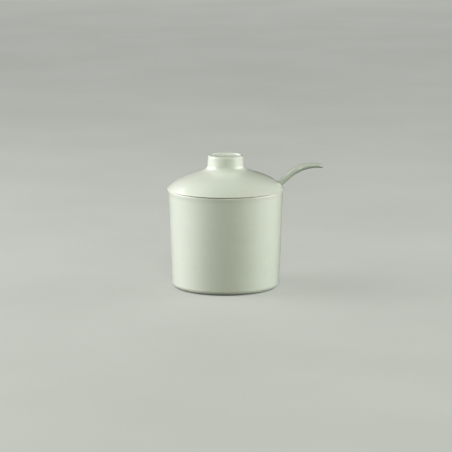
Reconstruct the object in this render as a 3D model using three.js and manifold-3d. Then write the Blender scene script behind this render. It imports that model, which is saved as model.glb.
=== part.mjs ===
// A lidded porcelain jam or mustard pot with its own porcelain spoon.
// The pot and the lid are turned about the Z axis. The spoon lies in the XZ plane: its bowl stands in the
// pot on the -X side, and its handle leaves through a notch in the lid's edge on the +X side.
// Millimetres, +Z up, origin at the centre of the face that the pot stands on.
import * as THREE from "three";
import { mergeVertices } from "three/addons/utils/BufferGeometryUtils.js";
import Module from "manifold-3d";

const wasm = await Module();
wasm.setup();

// ---- driving dimensions ----
const POT_RIM_RADIUS = 41.3; // widest point of the pot, just under its rim
const POT_RIM_Z = 70.85;
const POT_BASE_RADIUS = 38.65; // wall radius where the base corner begins
const POT_CORNER = 4.1; // rounding between wall and base
const POT_WALL = 3.0;
const POT_FLOOR_Z = 4.5;
const POT_INNER_CORNER = 8.0; // fillet between wall and floor, inside
const POT_FLARE_Z = 67.2; // where the wall begins to open into the rim
const POT_FLARE = 0.38; // how far the rim stands out from the straight wall
const RIM_WALL = 1.8; // the wall thins towards the rim
const RIM_THIN_Z = 52; // where the thinning begins

const LID_RADIUS = 42.0; // the lid overhangs the pot a little
const LID_EDGE_Z = 71.5; // height of the lid's widest point, just above its lower edge
const SEAT_GAP = 0.25; // between the pot's rim and the lid's seat
const DOME_PULL = [34.9, 78.5, 30.8, 80.0]; // (r, z) twice: control points of the dome's curve, edge first
const DOME_TOP = { r: 17.7, z: 84.2 }; // where the dome runs into the knob's fillet
const DOME_UNDER_Z = 81.8; // underside of the dome, beside the hollow of the knob
const UNDER_PULL = [18.6, 81.7, 27.0, 78.7]; // the same two control points for the underside, knob first
const UNDER_FILLET = 2.0; // between the underside and the ring
const RING_OUTER = 37.8; // the ring under the lid that centres it in the pot
const RING_INNER = 35.3;
const RING_Z = 66.5;

const KNOB_RADIUS = 12.65; // a short drum with a shallow dish on top, hollow from below
const KNOB_FOOT = { r: 12.95, z: 88.1 }; // upper end of the fillet round the knob
const KNOB_TOP_Z = 95.4;
const KNOB_LIP = { r: 1.4, z: 1.2 }; // rounding of its top edge, wider than high
const KNOB_DISH_RADIUS = 10.7;
const KNOB_DISH_DEPTH = 1.1;
const KNOB_HOLLOW_RADIUS = 9.3;
const KNOB_HOLLOW_TOP_Z = 90.0;

const NOTCH_WIDTH = 7.8; // the notch leans with the spoon's shaft and is round at its upper end

const SHAFT_ANGLE = THREE.MathUtils.degToRad(41.5); // lean of the spoon's straight shaft above horizontal
const SHAFT_POINT = new THREE.Vector2(43.0, 76.65); // (x, z) of a point of the shaft's line, above the rim
const SPOON_TIP_X = -33.2; // bowl tip, on the shaft's line
const SHAFT_END_X = 46.1; // where the handle starts to curve over
const HANDLE_BEND = 26.6; // radius of the handle's curve up to its highest point
const HANDLE_DROOP = 36.5; // radius of the curve beyond it
const HANDLE_END_X = 71.35;
const HANDLE_END_ROUNDING = 2.8;
const SHAFT_SQUARENESS = 2.4; // 2 is an ellipse, more is squarer
const BOWL_SQUARENESS = 3.2;

const BOWL_FRONT = 15.0; // from the bowl's tip to its widest place
const BOWL_BACK = 24.0; // from there to the neck
const BOWL_HALF_WIDTH = 10.6;
const BOWL_DEPTH = 5.2;
const BOWL_HALF_WALL = 1.0;

// ---- resolution ----
const TURN_SEGMENTS = 48;
const CURVE_STEPS = { LineCurve: 1, EllipseCurve: 6, QuadraticBezierCurve: 4, CubicBezierCurve: 8 };
const RING_POINTS = 24;

// ---- materials ----
const porcelain = (colour) =>
  new THREE.MeshStandardMaterial({ color: colour, roughness: 0.22, metalness: 0 });

// A solid of revolution about Z from an outline (radius, height) that starts and ends on the axis.
function turned(outline) {
  const nearest = 1e-6; // joints between curves count once
  const points = outline.curves
    .flatMap((curve) => curve.getPoints(CURVE_STEPS[curve.type]))
    .filter((point, i, all) => i === 0 || point.distanceTo(all[i - 1]) > nearest);
  return new THREE.LatheGeometry(points, TURN_SEGMENTS).rotateX(Math.PI / 2);
}

function toManifold(geometry) {
  const bare = geometry.clone();
  bare.deleteAttribute("normal");
  bare.deleteAttribute("uv");
  const merged = mergeVertices(bare, 1e-3);
  return new wasm.Manifold(
    new wasm.Mesh({
      numProp: 3,
      vertProperties: merged.attributes.position.array,
      triVerts: new Uint32Array(merged.index.array),
    }),
  );
}

function toGeometry(manifold) {
  const mesh = manifold.getMesh();
  return new THREE.BufferGeometry()
    .setAttribute("position", new THREE.BufferAttribute(mesh.vertProperties, 3))
    .setIndex(new THREE.BufferAttribute(mesh.triVerts, 1));
}

// ---- pot: one thick-walled cup with a flat base and a slightly flared rim ----
function potGeometry() {
  const lip = RIM_WALL / 2; // the rim is fully rounded
  const wallAt = (z) =>
    THREE.MathUtils.mapLinear(z, POT_CORNER, POT_FLARE_Z, POT_BASE_RADIUS, POT_RIM_RADIUS - POT_FLARE);
  const floorCorner = new THREE.Vector2(
    wallAt(POT_FLOOR_Z + POT_INNER_CORNER) - POT_WALL - POT_INNER_CORNER,
    POT_FLOOR_Z + POT_INNER_CORNER,
  );
  const outline = new THREE.Path();
  outline.moveTo(0, 0);
  outline.lineTo(POT_BASE_RADIUS - POT_CORNER, 0);
  outline.absarc(POT_BASE_RADIUS - POT_CORNER, POT_CORNER, POT_CORNER, -Math.PI / 2, 0);
  outline.lineTo(POT_RIM_RADIUS - POT_FLARE, POT_FLARE_Z);
  outline.quadraticCurveTo(
    POT_RIM_RADIUS - POT_FLARE / 3,
    (POT_FLARE_Z + POT_RIM_Z) / 2,
    POT_RIM_RADIUS,
    POT_RIM_Z - lip,
  );
  outline.absarc(POT_RIM_RADIUS - lip, POT_RIM_Z - lip, lip, 0, Math.PI);
  outline.lineTo(wallAt(RIM_THIN_Z) - POT_WALL, RIM_THIN_Z);
  outline.lineTo(floorCorner.x + POT_INNER_CORNER, floorCorner.y);
  outline.absarc(floorCorner.x, floorCorner.y, POT_INNER_CORNER, 0, -Math.PI / 2, true);
  outline.lineTo(0, POT_FLOOR_Z);
  return turned(outline);
}

// ---- lid: a dome with a flat seat, a locating ring below and a dished knob on top ----
function lidOutline() {
  const seatZ = POT_RIM_Z + SEAT_GAP;
  const ringEdge = 0.7; // rounding of the locating ring's lower edges
  const hollowFillet = 2.0;
  const dishZ = KNOB_TOP_Z - KNOB_DISH_DEPTH;
  const outline = new THREE.Path();
  outline.moveTo(0, KNOB_HOLLOW_TOP_Z);
  outline.lineTo(KNOB_HOLLOW_RADIUS - hollowFillet, KNOB_HOLLOW_TOP_Z);
  outline.absarc(
    KNOB_HOLLOW_RADIUS - hollowFillet,
    KNOB_HOLLOW_TOP_Z - hollowFillet,
    hollowFillet,
    Math.PI / 2,
    0,
    true,
  );
  outline.lineTo(KNOB_HOLLOW_RADIUS + 0.1, DOME_UNDER_Z + 3);
  outline.quadraticCurveTo(KNOB_HOLLOW_RADIUS + 0.3, DOME_UNDER_Z, KNOB_RADIUS, DOME_UNDER_Z);
  outline.bezierCurveTo(...UNDER_PULL, RING_INNER - UNDER_FILLET, seatZ + 2 * UNDER_FILLET);
  outline.quadraticCurveTo(RING_INNER, seatZ + 1.3 * UNDER_FILLET, RING_INNER, seatZ);
  outline.lineTo(RING_INNER, RING_Z + ringEdge);
  outline.absarc(RING_INNER + ringEdge, RING_Z + ringEdge, ringEdge, Math.PI, 1.5 * Math.PI);
  outline.lineTo(RING_OUTER - ringEdge, RING_Z);
  outline.absarc(RING_OUTER - ringEdge, RING_Z + ringEdge, ringEdge, -Math.PI / 2, 0);
  outline.lineTo(RING_OUTER, seatZ);
  outline.lineTo(LID_RADIUS - 0.4, seatZ);
  outline.quadraticCurveTo(LID_RADIUS, seatZ, LID_RADIUS, LID_EDGE_Z);
  outline.bezierCurveTo(...DOME_PULL, DOME_TOP.r, DOME_TOP.z);
  outline.quadraticCurveTo(KNOB_FOOT.r + 0.15, DOME_TOP.z + 1.5, KNOB_FOOT.r, KNOB_FOOT.z);
  const lip = { r: KNOB_RADIUS - KNOB_LIP.r, z: KNOB_TOP_Z - KNOB_LIP.z };
  outline.lineTo(KNOB_RADIUS, lip.z);
  outline.absellipse(lip.r, lip.z, KNOB_LIP.r, KNOB_LIP.z, 0, Math.PI / 2);
  outline.quadraticCurveTo(KNOB_DISH_RADIUS + 0.2, KNOB_TOP_Z, KNOB_DISH_RADIUS, KNOB_TOP_Z - 0.4);
  outline.quadraticCurveTo(KNOB_DISH_RADIUS - 0.4, dishZ, KNOB_DISH_RADIUS - 1.5, dishZ);
  outline.lineTo(0, dishZ);
  return outline;
}

// The slot that lets the spoon's handle out: a bar with a round top, laid along the spoon's shaft and deep
// enough to open the lid's edge and the locating ring from below.
function notchGeometry() {
  const half = NOTCH_WIDTH / 2;
  const depth = 9;
  const inward = 20; // how far the bar reaches from SHAFT_POINT to each side
  const outward = 12;
  const slot = new THREE.Shape();
  slot.moveTo(-half, -depth);
  slot.lineTo(half, -depth);
  slot.lineTo(half, 0);
  slot.absarc(0, 0, half, 0, Math.PI);
  const bar = new THREE.ExtrudeGeometry(slot, {
    depth: inward + outward,
    bevelEnabled: false,
    curveSegments: 12,
  });
  const across = new THREE.Vector3(0, 1, 0);
  const along = new THREE.Vector3(Math.cos(SHAFT_ANGLE), 0, Math.sin(SHAFT_ANGLE));
  const up = along.clone().cross(across);
  const shaftPoint = new THREE.Vector3(SHAFT_POINT.x, 0, SHAFT_POINT.y);
  return bar.applyMatrix4(
    new THREE.Matrix4()
      .makeBasis(across, up, along)
      .setPosition(shaftPoint.addScaledVector(along, -inward)),
  );
}

function lidGeometry() {
  const solid = toManifold(turned(lidOutline()));
  return toGeometry(solid.subtract(toManifold(notchGeometry())));
}

// ---- spoon: rings lofted along a centre line that is straight in the pot and curves over outside ----

// The centre line in the XZ plane, from the bowl's tip to the end of the handle.
function spoonLine() {
  const slope = Math.tan(SHAFT_ANGLE);
  const onShaft = (x) => new THREE.Vector2(x, SHAFT_POINT.y + (x - SHAFT_POINT.x) * slope);
  const tip = onShaft(SPOON_TIP_X);
  const end = onShaft(SHAFT_END_X);
  const bendCentre = new THREE.Vector2(
    end.x + HANDLE_BEND * Math.sin(SHAFT_ANGLE),
    end.y - HANDLE_BEND * Math.cos(SHAFT_ANGLE),
  );
  const droopCentreZ = bendCentre.y + HANDLE_BEND - HANDLE_DROOP;
  const droopAngle = Math.asin((HANDLE_END_X - bendCentre.x) / HANDLE_DROOP);
  const line = new THREE.Path();
  line.moveTo(tip.x, tip.y);
  line.lineTo(end.x, end.y);
  line.absarc(bendCentre.x, bendCentre.y, HANDLE_BEND, Math.PI / 2 + SHAFT_ANGLE, Math.PI / 2, true);
  line.absarc(bendCentre.x, droopCentreZ, HANDLE_DROOP, Math.PI / 2, Math.PI / 2 - droopAngle, true);
  return line;
}

// A smooth curve through [place, value] keys, level before the first key and after the last.
function smoothThrough(keys, place) {
  const last = keys.length - 1;
  let next = 1;
  while (next < last && keys[next][0] < place) next++;
  const slopeAt = (k) => {
    if (k === 0 || k === last) return 0;
    return (keys[k + 1][1] - keys[k - 1][1]) / (keys[k + 1][0] - keys[k - 1][0]);
  };
  const [x0, y0] = keys[next - 1];
  const [x1, y1] = keys[next];
  const span = x1 - x0;
  const t = THREE.MathUtils.clamp((place - x0) / span, 0, 1);
  const ease = t * t * (3 - 2 * t);
  const bend = t * (1 - t) * ((1 - t) * slopeAt(next - 1) - t * slopeAt(next));
  return y0 + (y1 - y0) * ease + span * bend;
}

// Half width, half thickness, hollow and squareness of the spoon's section, s from the bowl's tip.
function spoonSection(s, length) {
  const neck = BOWL_FRONT + BOWL_BACK;
  const roundedEnd = (distance, radius) =>
    Math.sqrt(Math.max(0, 1 - Math.max(0, 1 - distance / radius) ** 2));
  const halfWidthKeys = [
    [neck, 2.75],
    [length - 33, 3.0],
    [length - 16, 3.9],
    [length - 5, 3.3],
    [length, 2.6],
  ];
  const halfThicknessKeys = [
    [BOWL_FRONT, BOWL_HALF_WALL],
    [neck + 4, 2.0],
    [length - 36, 2.2],
    [length - 29, 2.2],
    [length - 20, 2.35],
    [length - 10, 1.95],
    [length - 2.4, 1.35],
    [length, 1.2],
  ];
  const inFront = s < BOWL_FRONT;
  const towardsNeck = Math.min(1, (s - BOWL_FRONT) / BOWL_BACK);
  const bowlness = inFront ? roundedEnd(s, BOWL_FRONT) : 0.5 + 0.5 * Math.cos(Math.PI * towardsNeck);
  const narrowest = inFront ? 0 : smoothThrough(halfWidthKeys, s);
  const halfWidth = narrowest + (BOWL_HALF_WIDTH - narrowest) * bowlness;
  const halfThickness = smoothThrough(halfThicknessKeys, s);
  return {
    halfWidth: halfWidth * roundedEnd(length - s, HANDLE_END_ROUNDING),
    halfThickness:
      halfThickness * roundedEnd(s, BOWL_HALF_WALL) * roundedEnd(length - s, HANDLE_END_ROUNDING / 2),
    hollow: BOWL_DEPTH * bowlness ** 1.3,
    squareness: SHAFT_SQUARENESS + (BOWL_SQUARENESS - SHAFT_SQUARENESS) * bowlness,
  };
}

// One closed ring: a rounded section, bent down in the middle where it belongs to the bowl.
function spoonRing(place, tangent, section) {
  const up = new THREE.Vector2(-tangent.y, tangent.x);
  const ring = [];
  for (let k = 0; k < RING_POINTS; k++) {
    const angle = (2 * Math.PI * k) / RING_POINTS;
    const c = Math.cos(angle);
    const s = Math.sin(angle);
    const n = section.squareness;
    const reach = (Math.abs(c) ** n + Math.abs(s) ** n) ** (-1 / n);
    const across = reach * c; // -1 to 1 across the width
    const slope = (2 * section.hollow * across) / Math.max(section.halfWidth, 0.5);
    const thick = section.halfThickness * reach * s * Math.hypot(1, slope);
    const height = thick - section.hollow * (1 - across * across);
    ring.push(
      new THREE.Vector3(
        place.x + up.x * height,
        section.halfWidth * across,
        place.y + up.y * height,
      ),
    );
  }
  return ring;
}

// Closed skin over rings that all have the same number of points.
function loft(rings, start, end) {
  const points = [start, ...rings.flat(), end];
  const count = rings[0].length;
  const at = (ring, k) => 1 + ring * count + (k % count);
  const faces = [];
  for (let k = 0; k < count; k++) {
    faces.push(0, at(0, k + 1), at(0, k));
    for (let ring = 0; ring + 1 < rings.length; ring++) {
      faces.push(at(ring, k), at(ring, k + 1), at(ring + 1, k));
      faces.push(at(ring, k + 1), at(ring + 1, k + 1), at(ring + 1, k));
    }
    faces.push(at(rings.length - 1, k), at(rings.length - 1, k + 1), points.length - 1);
  }
  return new THREE.BufferGeometry().setFromPoints(points).setIndex(faces);
}

function spoonGeometry() {
  const line = spoonLine();
  const length = line.getLength();
  const endSteps = [0.12, 0.4, 0.9, 1.7]; // close rings shape the rounded ends
  const evenFrom = 2.6;
  const evenRings = 40;
  const evenStep = (length - 2 * evenFrom) / (evenRings - 1);
  const stations = [
    ...endSteps,
    ...Array.from({ length: evenRings }, (_, i) => evenFrom + evenStep * i),
    ...endSteps.map((d) => length - d).reverse(),
  ];
  const rings = stations.map((s) =>
    spoonRing(line.getPointAt(s / length), line.getTangentAt(s / length), spoonSection(s, length)),
  );
  const first = line.getPointAt(0);
  const last = line.getPointAt(1);
  return loft(rings, new THREE.Vector3(first.x, 0, first.y), new THREE.Vector3(last.x, 0, last.y));
}

// ---- the object ----
function piece(name, geometry, colour) {
  const mesh = new THREE.Mesh(geometry, porcelain(colour));
  mesh.name = name;
  return mesh;
}

const condimentPot = new THREE.Group();
condimentPot.add(piece("pot", potGeometry(), 0xdde2d3));
condimentPot.add(piece("lid", lidGeometry(), 0xdfe4d6));
condimentPot.add(piece("spoon", spoonGeometry(), 0xd8dccf));

export default condimentPot;
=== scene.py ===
"""A porcelain jam pot with a lid and a spoon: fine meshes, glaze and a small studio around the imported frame.

The design values are in millimetres and become metres when a mesh is made. +Z is up, the pot stands on z = 0,
and the spoon lies in the XZ plane, with its handle on the +X side.
"""

import math

import bpy
import numpy as np
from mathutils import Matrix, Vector


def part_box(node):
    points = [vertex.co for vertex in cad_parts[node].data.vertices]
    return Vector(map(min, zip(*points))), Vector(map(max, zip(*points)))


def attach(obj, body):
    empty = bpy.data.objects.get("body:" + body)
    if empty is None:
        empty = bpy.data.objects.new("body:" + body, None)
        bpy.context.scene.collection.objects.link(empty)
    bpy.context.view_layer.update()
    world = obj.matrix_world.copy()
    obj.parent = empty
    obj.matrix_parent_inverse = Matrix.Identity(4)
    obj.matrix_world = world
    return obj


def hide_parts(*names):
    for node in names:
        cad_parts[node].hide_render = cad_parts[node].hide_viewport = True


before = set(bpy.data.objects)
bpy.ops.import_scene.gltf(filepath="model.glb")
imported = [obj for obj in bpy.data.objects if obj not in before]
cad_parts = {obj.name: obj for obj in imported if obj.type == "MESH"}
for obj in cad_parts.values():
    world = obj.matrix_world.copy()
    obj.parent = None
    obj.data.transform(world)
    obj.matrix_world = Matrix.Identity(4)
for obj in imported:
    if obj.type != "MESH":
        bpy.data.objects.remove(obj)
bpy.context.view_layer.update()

MM = 0.001


def node_box(node):
    """The low and high corner of a CAD node's box, in millimetres."""
    low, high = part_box(node)
    return np.array(low) / MM, np.array(high) / MM


_, pot_high = node_box("pot")
lid_low, lid_high = node_box("lid")
_, spoon_high = node_box("spoon")

# ---- pot ----
RIM_RADIUS = pot_high[1]
RIM_Z = pot_high[2]
BASE_RADIUS = RIM_RADIUS - 2.65  # wall radius where the base corner begins
BASE_CORNER = 4.1
WALL = 3.0
FLOOR_Z = 4.5
INNER_CORNER = 8.0
FLARE_Z = RIM_Z - 3.65  # where the wall begins to open into the rim
FLARE = 0.38
RIM_WALL = 1.8
RIM_THIN_Z = RIM_Z - 18.85  # above this the wall thins towards the rim

# ---- lid ----
LID_RADIUS = lid_high[1]
LID_TOP_Z = lid_high[2]
RING_Z = lid_low[2]  # lower end of the locating ring
SEAT_Z = RIM_Z + 0.25  # the lid's flat underside, a hair above the rim
LID_EDGE_Z = RIM_Z + 0.65  # where the lid is widest
RING_OUTER = LID_RADIUS - 4.2
RING_INNER = LID_RADIUS - 6.7
UNDER_FILLET = 2.0
DOME_UNDER_Z = LID_TOP_Z - 13.6
UNDER_PULL = [(18.6, DOME_UNDER_Z - 0.1), (27.0, DOME_UNDER_Z - 3.1)]  # control points, knob first
DOME_PULL = [(34.9, LID_EDGE_Z + 7.0), (30.8, LID_EDGE_Z + 8.5)]  # control points, edge first
DOME_TOP = (17.7, LID_TOP_Z - 11.2)
KNOB_RADIUS = 12.65
KNOB_FOOT = (12.95, LID_TOP_Z - 7.3)
KNOB_LIP = np.array([1.4, 1.2])  # rounding of the knob's top edge, wider than high
DISH_Z = LID_TOP_Z - 1.1  # a shallow flat dish inside a thin raised lip
DISH_RADIUS = 10.7
HOLLOW_RADIUS = 9.3
HOLLOW_TOP_Z = LID_TOP_Z - 5.4
NOTCH_HALF = 3.9  # half the notch's width, and the radius of its round top
NOTCH_EDGE = 0.8  # rounding of the notch's fired edges

# ---- spoon ----
SHAFT_ANGLE = math.radians(41.5)
SHAFT_POINT = np.array([43.0, RIM_Z + 5.8])  # (x, z) of a point on the shaft's centre line
SPOON_TIP_X = -33.2
SHAFT_END_X = 46.1  # the handle begins to curve here
HANDLE_BEND = 26.6  # radius of its curve until it lies level
HANDLE_DROOP = 36.5  # radius of its curve beyond that
HANDLE_END_X = spoon_high[0]
HANDLE_END_ROUNDING = 2.8
SHAFT_SQUARENESS = 2.0  # 2 is an ellipse, more is squarer
BOWL_SQUARENESS = 3.2
BOWL_FRONT = 15.0  # from the tip to the bowl's widest place
BOWL_BACK = 24.0  # from there to the neck
BOWL_HALF_WIDTH = 10.6
BOWL_DEPTH = 5.2
BOWL_ONSET = 1.3  # above 1, the hollow begins a little after the bowl widens
BOWL_HALF_WALL = 1.0

# ---- mesh detail ----
TURNS = 224  # points around a turned piece
CURVE_STEP = 0.22
STRAIGHT_STEP = 1.2
NET_STEP = 0.36  # grid cell of the lid's surface net
SPOON_RING_POINTS = 64
SPOON_RINGS_PER_MM = 1.6
SPOON_EASED = 0.65  # how much closer together the rings stand at the spoon's ends

# ---- camera, in metres and degrees, with the lens in millimetres ----
# The spoon's handle points to the right of the picture and a little away from the camera.
CAMERA_AZIMUTH = -10.0
CAMERA_DISTANCE = 1.80
CAMERA_HEIGHT = 0.3706
CAMERA_PITCH = 10.29
CAMERA_LENS = 203.0
CAMERA_SHIFT = 0.001


# ======== outlines ========


def straight(start, end):
    """Evenly spaced points along a line."""
    start, end = np.array(start), np.array(end)
    steps = max(1, math.ceil(np.linalg.norm(end - start) / STRAIGHT_STEP))
    return start + (end - start) * np.linspace(0, 1, steps + 1)[:, None]


def arc(centre, radius, start_degrees, end_degrees):
    """An arc of a circle, or of an ellipse when radius is a pair."""
    swing = math.radians(end_degrees - start_degrees)
    steps = max(4, math.ceil(abs(swing) * np.max(radius) / CURVE_STEP))
    angles = math.radians(start_degrees) + swing * np.linspace(0, 1, steps + 1)
    return np.array(centre) + radius * np.column_stack([np.cos(angles), np.sin(angles)])


def bezier(*controls):
    """A quadratic or cubic curve through its first and last control point."""
    controls = np.array(controls, float)
    degree = len(controls) - 1
    rough_length = np.linalg.norm(np.diff(controls, axis=0), axis=1).sum()
    t = np.linspace(0, 1, max(6, math.ceil(rough_length / (2 * CURVE_STEP))) + 1)[:, None]
    return sum(
        math.comb(degree, i) * (1 - t) ** (degree - i) * t**i * controls[i] for i in range(degree + 1)
    )


def outline(*stretches):
    """Joins stretches end to end and drops the points that two of them share."""
    points = np.vstack(stretches)
    moved = np.linalg.norm(np.diff(points, axis=0), axis=1) > 1e-6
    return points[np.concatenate([[True], moved])]


def pot_outline():
    """From the middle of the base, out and up the wall, over the rim and back in along the floor."""
    lip = RIM_WALL / 2
    lean = (RIM_RADIUS - FLARE - BASE_RADIUS) / (FLARE_Z - BASE_CORNER)
    wall_at = lambda z: BASE_RADIUS + lean * (z - BASE_CORNER)
    floor_corner = (wall_at(FLOOR_Z + INNER_CORNER) - WALL - INNER_CORNER, FLOOR_Z + INNER_CORNER)
    inner_foot = (floor_corner[0] + INNER_CORNER, floor_corner[1])
    inner_thin = (wall_at(RIM_THIN_Z) - WALL, RIM_THIN_Z)
    inner_rim = (RIM_RADIUS - RIM_WALL, RIM_Z - lip)
    thinning_pull = (inner_rim[0] - 0.25, RIM_Z - 9)
    return outline(
        straight((0, 0), (BASE_RADIUS - BASE_CORNER, 0)),
        arc((BASE_RADIUS - BASE_CORNER, BASE_CORNER), BASE_CORNER, -90, 0),
        straight((BASE_RADIUS, BASE_CORNER), (RIM_RADIUS - FLARE, FLARE_Z)),
        bezier(
            (RIM_RADIUS - FLARE, FLARE_Z),
            (RIM_RADIUS - FLARE / 3, (FLARE_Z + RIM_Z) / 2),
            (RIM_RADIUS, RIM_Z - lip),
        ),
        arc((RIM_RADIUS - lip, RIM_Z - lip), lip, 0, 180),
        bezier(inner_rim, thinning_pull, inner_thin),
        straight(inner_thin, inner_foot),
        arc(floor_corner, INNER_CORNER, 0, -90),
        straight((floor_corner[0], FLOOR_Z), (0, FLOOR_Z)),
    )


def lid_outline():
    """From the top of the knob's hollow, down under the dome, round the ring, and back over the dome."""
    ring_edge = 0.7
    ring_root = 0.3
    seat_edge = 0.4
    hollow_fillet = 2.0
    dish_foot = DISH_RADIUS - 1.5
    dish_brink = (DISH_RADIUS, LID_TOP_Z - 0.4)
    hollow_foot = (HOLLOW_RADIUS + 0.1, DOME_UNDER_Z + 3)
    under_end = (RING_INNER - UNDER_FILLET, SEAT_Z + 2 * UNDER_FILLET)
    lip = np.array([KNOB_RADIUS, LID_TOP_Z]) - KNOB_LIP
    return outline(
        straight((0, HOLLOW_TOP_Z), (HOLLOW_RADIUS - hollow_fillet, HOLLOW_TOP_Z)),
        arc((HOLLOW_RADIUS - hollow_fillet, HOLLOW_TOP_Z - hollow_fillet), hollow_fillet, 90, 0),
        straight((HOLLOW_RADIUS, HOLLOW_TOP_Z - hollow_fillet), hollow_foot),
        bezier(hollow_foot, (HOLLOW_RADIUS + 0.3, DOME_UNDER_Z), (KNOB_RADIUS, DOME_UNDER_Z)),
        bezier((KNOB_RADIUS, DOME_UNDER_Z), *UNDER_PULL, under_end),
        bezier(under_end, (RING_INNER, SEAT_Z + 1.3 * UNDER_FILLET), (RING_INNER, SEAT_Z)),
        straight((RING_INNER, SEAT_Z), (RING_INNER, RING_Z + ring_edge)),
        arc((RING_INNER + ring_edge, RING_Z + ring_edge), ring_edge, 180, 270),
        arc((RING_OUTER - ring_edge, RING_Z + ring_edge), ring_edge, -90, 0),
        straight((RING_OUTER, RING_Z + ring_edge), (RING_OUTER, SEAT_Z - ring_root)),
        bezier((RING_OUTER, SEAT_Z - ring_root), (RING_OUTER, SEAT_Z), (RING_OUTER + ring_root, SEAT_Z)),
        straight((RING_OUTER + ring_root, SEAT_Z), (LID_RADIUS - seat_edge, SEAT_Z)),
        bezier((LID_RADIUS - seat_edge, SEAT_Z), (LID_RADIUS, SEAT_Z), (LID_RADIUS, LID_EDGE_Z)),
        bezier((LID_RADIUS, LID_EDGE_Z), *DOME_PULL, DOME_TOP),
        bezier(DOME_TOP, (KNOB_FOOT[0] + 0.15, DOME_TOP[1] + 1.5), KNOB_FOOT),
        straight(KNOB_FOOT, (KNOB_RADIUS, lip[1])),
        arc(lip, KNOB_LIP, 0, 90),
        bezier((lip[0], LID_TOP_Z), (DISH_RADIUS + 0.2, LID_TOP_Z), dish_brink),
        bezier(dish_brink, (DISH_RADIUS - 0.4, DISH_Z), (dish_foot, DISH_Z)),
        straight((dish_foot, DISH_Z), (0, DISH_Z)),
    )


# ======== meshes ========


def make_piece(name, points, faces, body):
    """A closed smooth mesh with its faces pointing out, standing for the CAD node of the same name."""
    mesh = bpy.data.meshes.new(name)
    mesh.from_pydata((points * MM).tolist(), [], faces)
    mesh.validate()
    mesh.shade_smooth()
    piece = bpy.data.objects.new("fine_" + name, mesh)
    bpy.context.scene.collection.objects.link(piece)
    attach(piece, body)
    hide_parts(name)
    return piece


def skin(rings, start, end):
    """Points and faces of a closed skin over rings of equally many points, closed by a point at each end."""
    ring_count, size, _ = rings.shape
    points = np.vstack([[start], rings.reshape(-1, 3), [end]])
    k = np.arange(size)
    after = (k + 1) % size
    rows = 1 + size * np.arange(ring_count - 1)[:, None]
    quads = np.stack([rows + k, rows + after, rows + size + after, rows + size + k], axis=-1)
    last = 1 + size * (ring_count - 1)
    first_cap = np.column_stack([np.zeros(size, int), 1 + after, 1 + k])
    last_cap = np.column_stack([np.full(size, len(points) - 1), last + k, last + after])
    return points, quads.reshape(-1, 4).tolist() + first_cap.tolist() + last_cap.tolist()


def turned(profile):
    """A solid of revolution from an outline that starts at the axis below and runs out, up and back."""
    angles = 2 * np.pi * np.arange(TURNS) / TURNS
    radius = profile[1:-1, 0][:, None]
    height = profile[1:-1, 1][:, None]
    rings = np.stack(
        [radius * np.cos(angles), radius * np.sin(angles), height + 0 * angles],
        axis=-1,
    )
    return skin(rings, (0, 0, profile[0, 1]), (0, 0, profile[-1, 1]))


# ---- a solid given by its signed distance, negative inside ----


def outline_distance(profile, radius, height):
    """Signed distance from points to a turned outline, which the axis closes."""
    start, end = profile[:-1], profile[1:]
    along = end - start
    best = np.full(radius.shape, np.inf)
    crossings = np.zeros(radius.shape, int)
    for (r0, z0), (dr, dz) in zip(start, along):
        t = np.clip(((radius - r0) * dr + (height - z0) * dz) / (dr * dr + dz * dz), 0, 1)
        best = np.minimum(best, np.hypot(radius - r0 - t * dr, height - z0 - t * dz))
        if dz:
            reached = (height - z0) / dz
            crossings += (reached >= 0) & (reached < 1) & (r0 + reached * dr > radius)
    return np.where(crossings % 2, -best, best)


def tabulated(profile, step=0.1, margin=2.0):
    low_z = profile[:, 1].min() - margin
    radii = np.arange(0, profile[:, 0].max() + 2 * margin, step)
    heights = np.arange(low_z, profile[:, 1].max() + margin, step)
    table = outline_distance(profile, *np.meshgrid(radii, heights, indexing="ij"))

    def lookup(radius, height):
        r = np.clip(radius / step, 0, len(radii) - 1.001)
        z = np.clip((height - low_z) / step, 0, len(heights) - 1.001)
        i, j = r.astype(int), z.astype(int)
        u, v = r - i, z - j
        lower = table[i, j] * (1 - u) + table[i + 1, j] * u
        upper = table[i, j + 1] * (1 - u) + table[i + 1, j + 1] * u
        return lower * (1 - v) + upper * v

    return lookup


def rounded_overlap(first, second, radius):
    """Distance to what two solids share, with the edge between them rounded."""
    outside = np.hypot(np.maximum(first + radius, 0), np.maximum(second + radius, 0))
    return np.minimum(np.maximum(first, second), -radius) + outside


def lid_distance_function():
    """The turned lid less its notch: a slot, open below, whose round top follows the spoon's shaft."""
    turned_solid = tabulated(lid_outline())

    def distance(points):
        x, y, z = points.T
        from_x, from_z = x - SHAFT_POINT[0], z - SHAFT_POINT[1]
        over_shaft = from_z * math.cos(SHAFT_ANGLE) - from_x * math.sin(SHAFT_ANGLE)
        notch = np.hypot(y, np.maximum(over_shaft, 0)) - NOTCH_HALF
        return rounded_overlap(turned_solid(np.hypot(x, y), z), -notch, NOTCH_EDGE)

    return distance


def gradient(distance, points, step=0.08):
    """The direction in which a distance grows fastest at each point, times its slope."""
    slopes = []
    for axis in range(3):
        offset = np.zeros(3)
        offset[axis] = step
        slopes.append((distance(points + offset) - distance(points - offset)) / (2 * step))
    return np.column_stack(slopes)


def onto_surface(distance, points, passes=3):
    """Moves points along the gradient until their distance is about zero."""
    for _ in range(passes):
        slope = gradient(distance, points)
        points = points - distance(points)[:, None] * slope / np.maximum((slope**2).sum(1), 0.2)[:, None]
    return points


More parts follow.
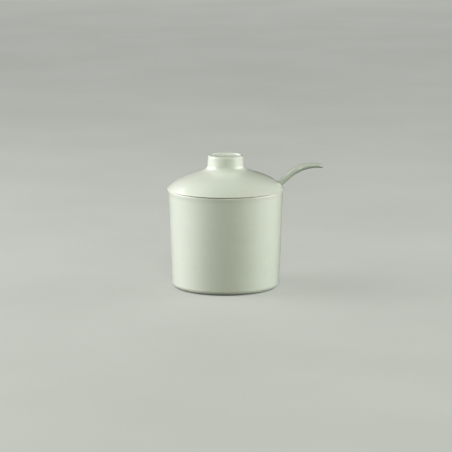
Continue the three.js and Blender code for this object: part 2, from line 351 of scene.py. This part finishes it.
def surface_net(distance, low, high, step):
    """Points and quads on the surface of a solid given by its distance: a point per grid cell it cuts."""
    axes = [np.arange(a - 2 * step, b + 3 * step, step) for a, b in zip(low, high)]
    grid = np.stack(np.meshgrid(*axes, indexing="ij"), axis=-1)
    inside = (distance(grid.reshape(-1, 3)) < 0).reshape(grid.shape[:3])
    near_and_far = (slice(None, -1), slice(1, None))
    corners = sum(
        inside[i, j, k].astype(int) for i in near_and_far for j in near_and_far for k in near_and_far
    )
    cut = (corners > 0) & (corners < 8)
    number = np.full(cut.shape, -1)
    number[cut] = np.arange(cut.sum())
    points = grid[:-1, :-1, :-1][cut] + step / 2
    quads = []
    for axis in range(3):
        one, two = (axis + 1) % 3, (axis + 2) % 3
        here = np.moveaxis(inside, (axis, one, two), (0, 1, 2))
        cells = np.moveaxis(number, (axis, one, two), (0, 1, 2))
        a, b = here[:-1, 1:-1, 1:-1], here[1:, 1:-1, 1:-1]
        ring = np.stack([cells[:, :-1, :-1], cells[:, 1:, :-1], cells[:, 1:, 1:], cells[:, :-1, 1:]], axis=-1)
        quads.append(ring[a & ~b])
        quads.append(ring[b & ~a][:, ::-1])
    return points, np.vstack(quads)


def relaxed(distance, points, quads, passes=5):
    """Evens out a surface net: each point moves to the mean of its neighbours, then back onto the surface."""
    links = np.vstack([quads[:, [i, (i + 1) % 4]] for i in range(4)])
    count = np.bincount(links.ravel(), minlength=len(points))[:, None]
    points = onto_surface(distance, points)
    for _ in range(passes):
        total = np.zeros_like(points)
        np.add.at(total, links[:, 0], points[links[:, 1]])
        np.add.at(total, links[:, 1], points[links[:, 0]])
        points = onto_surface(distance, (points + total / count) / 2, 1)
    return onto_surface(distance, points, 2)


# ---- the spoon ----


def spoon_line():
    """The centre line: places in mm from the tip, their centres and directions, the length and both ends."""
    slope = math.tan(SHAFT_ANGLE)
    on_shaft = lambda x: np.array([x, SHAFT_POINT[1] + (x - SHAFT_POINT[0]) * slope])
    tip, end = on_shaft(SPOON_TIP_X), on_shaft(SHAFT_END_X)
    shaft_length = np.linalg.norm(end - tip)
    bend = end + HANDLE_BEND * np.array([math.sin(SHAFT_ANGLE), -math.cos(SHAFT_ANGLE)])
    droop = bend + np.array([0, HANDLE_BEND - HANDLE_DROOP])
    droop_angle = math.asin((HANDLE_END_X - bend[0]) / HANDLE_DROOP)
    bend_length = HANDLE_BEND * SHAFT_ANGLE
    length = shaft_length + bend_length + HANDLE_DROOP * droop_angle
    even = np.linspace(0, 1, math.ceil(length * SPOON_RINGS_PER_MM))
    eased = even - 0.9 * np.sin(2 * np.pi * even) / (2 * np.pi)  # closer together at both ends
    places = ((1 - SPOON_EASED) * even + SPOON_EASED * eased)[1:-1] * length
    centres, directions = [], []
    for place in places:
        if place < shaft_length:
            angle = SHAFT_ANGLE
            centre = tip + place * np.array([math.cos(angle), math.sin(angle)])
        elif place < shaft_length + bend_length:
            angle = SHAFT_ANGLE - (place - shaft_length) / HANDLE_BEND
            centre = bend + HANDLE_BEND * np.array([-math.sin(angle), math.cos(angle)])
        else:
            angle = -(place - shaft_length - bend_length) / HANDLE_DROOP
            centre = droop + HANDLE_DROOP * np.array([-math.sin(angle), math.cos(angle)])
        centres.append(centre)
        directions.append(angle)
    last_angle = -droop_angle
    last = droop + HANDLE_DROOP * np.array([-math.sin(last_angle), math.cos(last_angle)])
    return places, np.array(centres), np.array(directions), length, tip, last


def smooth_through(keys, place):
    """A smooth curve through (place, value) keys, level before the first key and after the last."""
    x, y = np.array(keys).T
    slope = np.zeros(len(x))
    slope[1:-1] = (y[2:] - y[:-2]) / (x[2:] - x[:-2])
    i = np.clip(np.searchsorted(x, place), 1, len(x) - 1)
    span = x[i] - x[i - 1]
    t = np.clip((place - x[i - 1]) / span, 0, 1)
    ease = t * t * (3 - 2 * t)
    bend = t * (1 - t) * ((1 - t) * slope[i - 1] - t * slope[i])
    return y[i - 1] + (y[i] - y[i - 1]) * ease + span * bend


def spoon_section(place, length):
    """Half width, half thickness, hollow and squareness of the spoon's section, place mm from its tip."""
    neck = BOWL_FRONT + BOWL_BACK
    rounded_end = lambda distance, radius: math.sqrt(max(0, 1 - max(0, 1 - distance / radius) ** 2))
    half_width_keys = [
        (neck, 2.75),
        (length - 33, 3.0),
        (length - 16, 3.9),
        (length - 5, 3.3),
        (length, 2.6),
    ]
    half_thickness_keys = [
        (BOWL_FRONT, BOWL_HALF_WALL),
        (neck + 4, 2.0),
        (length - 36, 2.2),
        (length - 29, 2.2),
        (length - 20, 2.35),
        (length - 10, 1.95),
        (length - 2.4, 1.35),
        (length, 1.2),
    ]
    if place < BOWL_FRONT:
        bowlness = rounded_end(place, BOWL_FRONT)
        narrowest = 0
    else:
        bowlness = 0.5 + 0.5 * math.cos(math.pi * min(1, (place - BOWL_FRONT) / BOWL_BACK))
        narrowest = smooth_through(half_width_keys, place)
    half_width = narrowest + (BOWL_HALF_WIDTH - narrowest) * bowlness
    half_thickness = smooth_through(half_thickness_keys, place)
    tip = rounded_end(place, BOWL_HALF_WALL)
    return (
        half_width * rounded_end(length - place, HANDLE_END_ROUNDING),
        half_thickness * tip * rounded_end(length - place, HANDLE_END_ROUNDING / 2),
        BOWL_DEPTH * bowlness**BOWL_ONSET,
        SHAFT_SQUARENESS + (BOWL_SQUARENESS - SHAFT_SQUARENESS) * bowlness,
    )


def spoon_mesh():
    """Rings around the centre line: flat ovals on the shaft, and a curved shell where the bowl is."""
    places, centres, directions, length, tip, last = spoon_line()
    turn = 2 * np.pi * np.arange(SPOON_RING_POINTS) / SPOON_RING_POINTS
    cosine, sine = np.cos(turn), np.sin(turn)
    rings = []
    for place, centre, direction in zip(places, centres, directions):
        half_width, half_thickness, hollow, square = spoon_section(place, length)
        reach = (np.abs(cosine) ** square + np.abs(sine) ** square) ** (-1 / square)
        across = reach * cosine
        steepness = 2 * hollow * across / max(half_width, 0.5)
        height = half_thickness * reach * sine * np.hypot(1, steepness) - hollow * (1 - across**2)
        x = centre[0] - math.sin(direction) * height
        z = centre[1] + math.cos(direction) * height
        rings.append(np.column_stack([x, half_width * across, z]))
    points, faces = skin(np.array(rings), (tip[0], 0, tip[1]), (last[0], 0, last[1]))
    return points, [face[::-1] for face in faces]


# ======== what the glaze does at edges and where the clay is bare ========


SHARPEST = 1.5  # in 1/mm; sharper edges count as this


def add_vertex_value(piece, name, values):
    """Stores one number per vertex, for the material to read by name."""
    attribute = piece.data.attributes.new(name, "FLOAT", "POINT")
    attribute.data.foreach_set("value", values.astype(np.float32))


def vertex_arrays(piece):
    """A mesh's points in millimetres, its normals, and the two vertices of each edge."""
    mesh = piece.data
    points = np.zeros(len(mesh.vertices) * 3)
    mesh.vertices.foreach_get("co", points)
    normals = np.zeros(len(mesh.vertices) * 3)
    mesh.vertex_normals.foreach_get("vector", normals)
    links = np.zeros(len(mesh.edges) * 2, int)
    mesh.edges.foreach_get("vertices", links)
    return points.reshape(-1, 3) / MM, normals.reshape(-1, 3), links.reshape(-1, 2)


def edge_sharpness(piece, passes=3):
    """Mean curvature in 1/mm at each vertex: above zero on outer edges, below zero in inner corners."""
    points, normals, links = vertex_arrays(piece)
    step = points[links[:, 1]] - points[links[:, 0]]
    turn = normals[links[:, 1]] - normals[links[:, 0]]
    bend = (turn * step).sum(1) / np.maximum((step**2).sum(1), 1e-4)
    weight = np.bincount(links.ravel(), minlength=len(points))
    value = np.bincount(links.ravel(), np.repeat(bend, 2), len(points)) / weight
    for _ in range(passes):
        mean = np.bincount(links.ravel(), value[links[:, ::-1]].ravel(), len(points)) / weight
        value = (value + mean) / 2
    add_vertex_value(piece, "sharpness", np.clip(value, -SHARPEST, SHARPEST))


def smooth_rise(value, start, end):
    """0 below start and 1 above end, with a soft step between."""
    t = np.clip((value - start) / (end - start), 0, 1)
    return t * t * (3 - 2 * t)


def smooth_fall(value, start, end):
    """1 below start and 0 above end, with a soft step between."""
    return smooth_rise(-value, -end, -start)


def bare_clay_on_pot(piece):
    """The pot stands on a bare base, and its rim is bare where the lid rests."""
    points, _, _ = vertex_arrays(piece)
    radius, z = np.hypot(points[:, 0], points[:, 1]), points[:, 2]
    in_from_wall = BASE_RADIUS - radius
    below_rim = RIM_Z - z
    foot = smooth_rise(in_from_wall, 3.0, 4.2) * smooth_fall(z, 0.05, 0.6)
    rim = smooth_fall(below_rim, 0.12, 0.5)
    add_vertex_value(piece, "bare", np.maximum(foot, rim))


def bare_clay_on_lid(piece):
    """The lid is bare on the seat that rests on the rim, and on the lower end of its ring."""
    points, _, _ = vertex_arrays(piece)
    radius, z = np.hypot(points[:, 0], points[:, 1]), points[:, 2]
    above_seat = z - SEAT_Z
    above_ring_foot = z - RING_Z
    seat = smooth_fall(above_seat, 0.02, 0.25) * smooth_rise(radius, RING_OUTER - 0.8, RING_OUTER)
    ring_foot = smooth_fall(above_ring_foot, 0.3, 0.9)
    add_vertex_value(piece, "bare", np.maximum(seat, ring_foot))


def no_bare_clay(piece):
    add_vertex_value(piece, "bare", np.zeros(len(piece.data.vertices)))


# ======== materials ========


class Nodes:
    """Short calls for building the node tree of a material or a world."""

    def __init__(self, owner):
        owner.use_nodes = True
        self.tree = owner.node_tree
        self.tree.nodes.clear()

    def new(self, kind, settings=None, **inputs):
        node = self.tree.nodes.new(kind)
        for key, value in (settings or {}).items():
            setattr(node, key, value)
        for key, value in inputs.items():
            socket = node.inputs[key.replace("_", " ")]
            if isinstance(value, bpy.types.NodeSocket):
                self.tree.links.new(value, socket)
            else:
                socket.default_value = value
        return node

    def noise(self, vector, scale, detail=2.0, roughness=0.5):
        node = self.new("ShaderNodeTexNoise", Vector=vector, Scale=scale, Detail=detail, Roughness=roughness)
        return node.outputs["Fac"]

    def ramp(self, value, low, high, to_low=0.0, to_high=1.0):
        node = self.new(
            "ShaderNodeMapRange",
            {"interpolation_type": "SMOOTHSTEP"},
            Value=value,
            From_Min=low,
            From_Max=high,
            To_Min=to_low,
            To_Max=to_high,
        )
        return node.outputs["Result"]

    def math(self, operation, a, b=0.0):
        node = self.tree.nodes.new("ShaderNodeMath")
        node.operation = operation
        for socket, value in zip(node.inputs, (a, b)):
            if isinstance(value, bpy.types.NodeSocket):
                self.tree.links.new(value, socket)
            else:
                socket.default_value = value
        return node.outputs[0]

    def mix(self, factor, a, b):
        node = self.tree.nodes.new("ShaderNodeMix")
        node.data_type = "RGBA"
        for index, value in ((0, factor), (6, a), (7, b)):
            if isinstance(value, bpy.types.NodeSocket):
                self.tree.links.new(value, node.inputs[index])
            else:
                node.inputs[index].default_value = value
        return node.outputs[2]

    def attribute(self, name):
        return self.new("ShaderNodeAttribute", {"attribute_name": name}).outputs["Fac"]

    def bump(self, height, distance, strength=1.0, normal=None):
        inputs = {"Height": height, "Distance": distance, "Strength": strength}
        if normal is not None:
            inputs["Normal"] = normal
        return self.new("ShaderNodeBump", **inputs).outputs["Normal"]


GLAZE = (0.822, 0.868, 0.772, 1)  # white body seen through a clear glaze with a faint green-grey cast
GLAZE_DEEP = (0.718, 0.79, 0.692, 1)  # where the glaze pools thick
GLAZE_THIN = (0.89, 0.89, 0.79, 1)  # where it draws off an edge
BARE_CLAY = (0.80, 0.77, 0.67, 1)
SPECK = (0.42, 0.36, 0.27, 1)
STAIN = (0.50, 0.47, 0.40, 1)
LID_TONE = 0.965
# painted shade: the whole spoon is darkened to stand for the weaker light on its handle
SPOON_SHADE_TONE = 0.775

GLOSS = 0.30  # roughness of the glaze under its clear coat
COAT = 0.45  # share of the clear coat, which gives the sharper highlights
COAT_GLOSS = 0.13
PORCELAIN_IOR = 1.5

# scales of the patterns: the larger the number, the finer the pattern
DRIFT_SCALE = 22
SMUDGE_SCALE = 48
WAVE_SCALE = 55
CLOUD_SCALE = 95
RUB_SCALE = 160
SPECK_SCALE = 210.0
RING_SCALE = 420
PEEL_SCALE = 620
GRAIN_SCALE = 2600
RING_STRETCH = (0.06, 0.06, 1.0)  # rings change slowly around the axis and quickly along it
SPECK_RADIUS = 0.075  # of the largest specks, in cells of their pattern

# how strongly each layer of colour shows, from 0 to 1
DRIFT_AMOUNT = 0.32
CLOUD_AMOUNT = 0.30
POOL_AMOUNT = 0.75
THIN_AMOUNT = 0.8
SPECK_AMOUNT = 0.45
RUB_AMOUNT = 0.5
GRAIN_AMOUNT = 0.25

# heights of the relief, in metres
WAVE_HEIGHT = 0.0006
RING_HEIGHT = 0.00007
PEEL_HEIGHT = 0.00004
GRAIN_HEIGHT = 0.00009

FLOOR_BOUNCE = (0.055, 0.06, 0.048, 1)  # the floor, as everything but the camera sees it
FLOOR_PALE_LOW = (0.154, 0.161, 0.148, 1)
FLOOR_PALE = (0.158, 0.165, 0.152, 1)
FLOOR_PALE_HIGH = (0.162, 0.169, 0.156, 1)
FLOOR_GLOW = 2.35
ROOM_LIGHT = (0.94, 1.0, 0.87, 1)
ROOM_STRENGTH = 0.02


def glaze_colour(n, where, cloud, sharpness, thin):
    """Drifting glaze thickness, pooled in corners and thin at edges, with a few iron specks."""
    drift = n.noise(where, DRIFT_SCALE, 3)
    pooled = n.ramp(n.math("ADD", sharpness, n.math("MULTIPLY", cloud, 0.10)), -0.04, -0.34)
    colour = n.mix(n.ramp(drift, 0.3, 0.75, 0.0, DRIFT_AMOUNT), GLAZE, GLAZE_DEEP)
    colour = n.mix(n.ramp(cloud, 0.45, 0.75, 0.0, CLOUD_AMOUNT), colour, GLAZE_THIN)
    colour = n.mix(n.math("MULTIPLY", pooled, POOL_AMOUNT), colour, GLAZE_DEEP)
    colour = n.mix(n.math("MULTIPLY", thin, THIN_AMOUNT), colour, GLAZE_THIN)
    cells = n.new("ShaderNodeTexVoronoi", Vector=where, Scale=SPECK_SCALE)
    speck_size = n.math("MULTIPLY", n.ramp(cells.outputs["Color"], 0.64, 0.84), SPECK_RADIUS)
    speck = n.math("LESS_THAN", cells.outputs["Distance"], speck_size)
    return n.mix(n.math("MULTIPLY", speck, SPECK_AMOUNT), colour, SPECK)


def clay_colour(n, where, grain):
    """Bare clay: a fine dry grain, rubbed grey where it has been slid about."""
    rubbed = n.ramp(n.noise(where, RUB_SCALE, 5, 0.7), 0.52, 0.72, 0.0, RUB_AMOUNT)
    clay = n.mix(rubbed, BARE_CLAY, STAIN)
    return n.mix(n.ramp(grain, 0.35, 0.7, 0.0, GRAIN_AMOUNT), clay, STAIN)


def relief(n, where, grain, bare, ring_depth):
    """Slow waves of the fired glaze, faint rings from turning, orange peel, and the grain of bare clay."""
    waves = n.bump(n.noise(where, WAVE_SCALE, 2), WAVE_HEIGHT, 0.5)
    around = n.new("ShaderNodeMapping", Vector=where, Scale=RING_STRETCH).outputs[0]
    rings = n.bump(n.noise(around, RING_SCALE, 3, 0.6), RING_HEIGHT * ring_depth, 0.6, waves)
    peel = n.bump(n.noise(where, PEEL_SCALE, 2), PEEL_HEIGHT, 0.5, rings)
    return n.bump(n.math("MULTIPLY", grain, bare), GRAIN_HEIGHT, 0.9, peel)


def porcelain(name, seed, tone=1.0, ring_depth=1.0):
    """Glazed porcelain, with bare clay where the mesh says so.

    seed moves the patterns, tone below 1 darkens everything (on the spoon this darkening is painted shade),
    and ring_depth 0 leaves out the turning rings.
    """
    material = bpy.data.materials.new(name)
    n = Nodes(material)
    where = n.new("ShaderNodeTexCoord").outputs["Object"]
    where = n.new("ShaderNodeMapping", Vector=where, Location=(seed, seed * 0.7, seed * 0.3)).outputs[0]
    sharpness = n.attribute("sharpness")
    cloud = n.noise(where, CLOUD_SCALE, 4, 0.6)
    grain = n.noise(where, GRAIN_SCALE, 3, 0.7)
    thin = n.ramp(n.math("ADD", sharpness, n.math("MULTIPLY", cloud, 0.25)), 0.42, 1.0)
    ragged = n.math("ADD", n.attribute("bare"), n.math("MULTIPLY", n.math("SUBTRACT", cloud, 0.5), 0.5))
    bare = n.ramp(ragged, 0.42, 0.58)

    colour = n.mix(bare, glaze_colour(n, where, cloud, sharpness, thin), clay_colour(n, where, grain))
    # a tone below 1 darkens the whole colour evenly; the spoon's darkening is painted shade for the weaker
    # light on its handle
    if tone != 1.0:
        colour = n.mix(1 - tone, colour, (0, 0, 0, 1))

    # a little duller at thin edges and where fingers have been, and quite dull where the clay is bare
    smudge = n.ramp(n.noise(where, SMUDGE_SCALE, 4, 0.65), 0.5, 0.8, 0.0, 0.07)
    gloss = n.math("ADD", n.math("ADD", GLOSS, smudge), n.math("MULTIPLY", thin, 0.12))
    rough = n.math("ADD", gloss, n.math("MULTIPLY", bare, 0.5))
    coat = n.math("MULTIPLY", n.math("SUBTRACT", 1.0, bare), COAT)

    uneven = relief(n, where, grain, bare, ring_depth)
    surface = n.new(
        "ShaderNodeBsdfPrincipled",
        Base_Color=colour,
        Roughness=rough,
        IOR=PORCELAIN_IOR,
        Normal=uneven,
        Coat_Weight=coat,
        Coat_Roughness=COAT_GLOSS,
        Coat_IOR=PORCELAIN_IOR,
        Coat_Normal=uneven,
        Subsurface_Weight=0.12,
        Subsurface_Radius=(1.0, 0.85, 0.6),
        Subsurface_Scale=0.0012,
    )
    n.new("ShaderNodeOutputMaterial", Surface=surface.outputs[0])
    return material


def floor_material():
    """A pale floor, part of whose brightness is its own glow, so that it stays even from front to back.

    The glow and the pale colour are only seen by the camera: the floor throws little light back on the pot.
    """
    material = bpy.data.materials.new("pale_floor")
    n = Nodes(material)
    where = n.new("ShaderNodeTexCoord").outputs["Object"]
    cloud = n.noise(where, 6, 3)
    pale = n.mix(n.ramp(cloud, 0.3, 0.7), FLOOR_PALE_LOW, FLOOR_PALE_HIGH)
    seen = n.new("ShaderNodeLightPath").outputs["Is Camera Ray"]
    colour = n.mix(seen, FLOOR_BOUNCE, pale)
    surface = n.new(
        "ShaderNodeBsdfPrincipled",
        Base_Color=colour,
        Roughness=0.75,
        IOR=1.3,
        Emission_Color=pale,
        Emission_Strength=n.math("MULTIPLY", seen, FLOOR_GLOW),
    )
    n.new("ShaderNodeOutputMaterial", Surface=surface.outputs[0])
    return material


def pale_room():
    """A room as pale as the floor to the camera, though hardly any of its light falls on the pot."""
    world = bpy.data.worlds.new("pale_room")
    n = Nodes(world)
    seen = n.new("ShaderNodeLightPath").outputs["Is Camera Ray"]
    background = n.new(
        "ShaderNodeBackground",
        Color=n.mix(seen, ROOM_LIGHT, FLOOR_PALE),
        Strength=n.ramp(seen, 0.0, 1.0, ROOM_STRENGTH, FLOOR_GLOW),
    )
    n.new("ShaderNodeOutputWorld", Surface=background.outputs[0])
    return world


# ======== studio ========


def softbox(name, bearing, elevation, distance, width, height, power, tint=(1, 1, 1)):
    """An area light aimed at the pot's middle, with angles in degrees, sizes in metres and power in watts.

    Bearing 0 is the camera's own side of the pot, and 90 is the right-hand side of its picture.
    """
    turn, rise = math.radians(CAMERA_AZIMUTH + bearing), math.radians(elevation)
    outward = Vector((math.sin(turn) * math.cos(rise), -math.cos(turn) * math.cos(rise), math.sin(rise)))
    light = bpy.data.lights.new(name, "AREA")
    light.shape = "RECTANGLE"
    light.size, light.size_y = width, height
    light.energy = power
    light.color = tint
    holder = bpy.data.objects.new(name, light)
    holder.location = outward * distance + Vector((0, 0, LID_TOP_Z * MM / 2))
    holder.rotation_euler = outward.to_track_quat("Z", "Y").to_euler()
    bpy.context.scene.collection.objects.link(holder)
    return holder


RIGHT_TINT = (0.985, 1.0, 0.965)
FRONT_TINT = (0.94, 1.0, 0.82)  # the fill light is faintly yellow-green
FLOOR_REACH = 6.0  # metres from the pot to the floor's edges


def build_studio():
    scene = bpy.context.scene
    scene.view_settings.view_transform = "Standard"
    floor_mesh = bpy.data.meshes.new("floor")
    reach = FLOOR_REACH
    floor_corners = [(-reach, -reach, 0), (reach, -reach, 0), (reach, reach, 0), (-reach, reach, 0)]
    floor_mesh.from_pydata(floor_corners, [], [(0, 1, 2, 3)])
    floor = bpy.data.objects.new("floor", floor_mesh)
    floor_mesh.materials.append(floor_material())
    scene.collection.objects.link(floor)

    scene.world = pale_room()

    # name, bearing, elevation, distance, width, height, power and tint
    softbox("left_rear", -122, 25, 1.0, 0.4, 0.6, 2.3)
    softbox("left", -99, 25, 1.0, 0.4, 0.6, 6.0)
    softbox("left_front", -76, 25, 1.0, 0.4, 0.6, 2.8)
    softbox("left_low", -86, 15, 1.0, 0.4, 0.4, 2.5)
    softbox("right_front", 76, 15, 1.0, 0.4, 0.4, 3.9, RIGHT_TINT)
    softbox("right", 99, 15, 1.0, 0.4, 0.4, 4.7, RIGHT_TINT)
    softbox("front_low", 0, 11, 1.6, 1.2, 0.4, 1.9, FRONT_TINT)
    softbox("front_high", 3, 38, 1.1, 0.16, 0.16, 3.0, FRONT_TINT)
    rear = softbox("rear", 180, 12, 3.4, 2.4, 0.6, 18.0)
    rear.visible_glossy = False  # it lights the pot's back without a mirror image on the dome


def build_camera():
    camera = bpy.data.cameras.new("camera")
    camera.lens = CAMERA_LENS
    camera.sensor_width = 36.0
    camera.shift_x = CAMERA_SHIFT
    holder = bpy.data.objects.new("camera", camera)
    turn = math.radians(CAMERA_AZIMUTH)
    holder.location = (
        CAMERA_DISTANCE * math.sin(turn),
        -CAMERA_DISTANCE * math.cos(turn),
        CAMERA_HEIGHT,
    )
    holder.rotation_euler = (math.radians(90 - CAMERA_PITCH), 0, turn)
    bpy.context.scene.collection.objects.link(holder)
    bpy.context.scene.camera = holder


# ======== the object ========


def build_pot():
    points, faces = turned(pot_outline())
    piece = make_piece("pot", points, faces, "pot")
    edge_sharpness(piece)
    bare_clay_on_pot(piece)
    piece.data.materials.append(porcelain("pot_glaze", 0.0))


def build_lid():
    distance = lid_distance_function()
    points, quads = surface_net(distance, lid_low, lid_high, NET_STEP)
    points = relaxed(distance, points, quads)
    piece = make_piece("lid", points, quads.tolist(), "lid")
    normals = gradient(distance, points)
    normals /= np.linalg.norm(normals, axis=1)[:, None]
    piece.data.normals_split_custom_set_from_vertices(normals.tolist())
    edge_sharpness(piece)
    bare_clay_on_lid(piece)
    piece.data.materials.append(porcelain("lid_glaze", 0.37, LID_TONE))


def build_spoon():
    points, faces = spoon_mesh()
    piece = make_piece("spoon", points, faces, "spoon")
    edge_sharpness(piece)
    no_bare_clay(piece)
    # the spoon's tone is painted shade: its colour is darkened for the weaker light on its handle
    piece.data.materials.append(porcelain("spoon_glaze", 0.81, SPOON_SHADE_TONE, 0.0))


build_pot()
build_lid()
build_spoon()
build_studio()
build_camera()
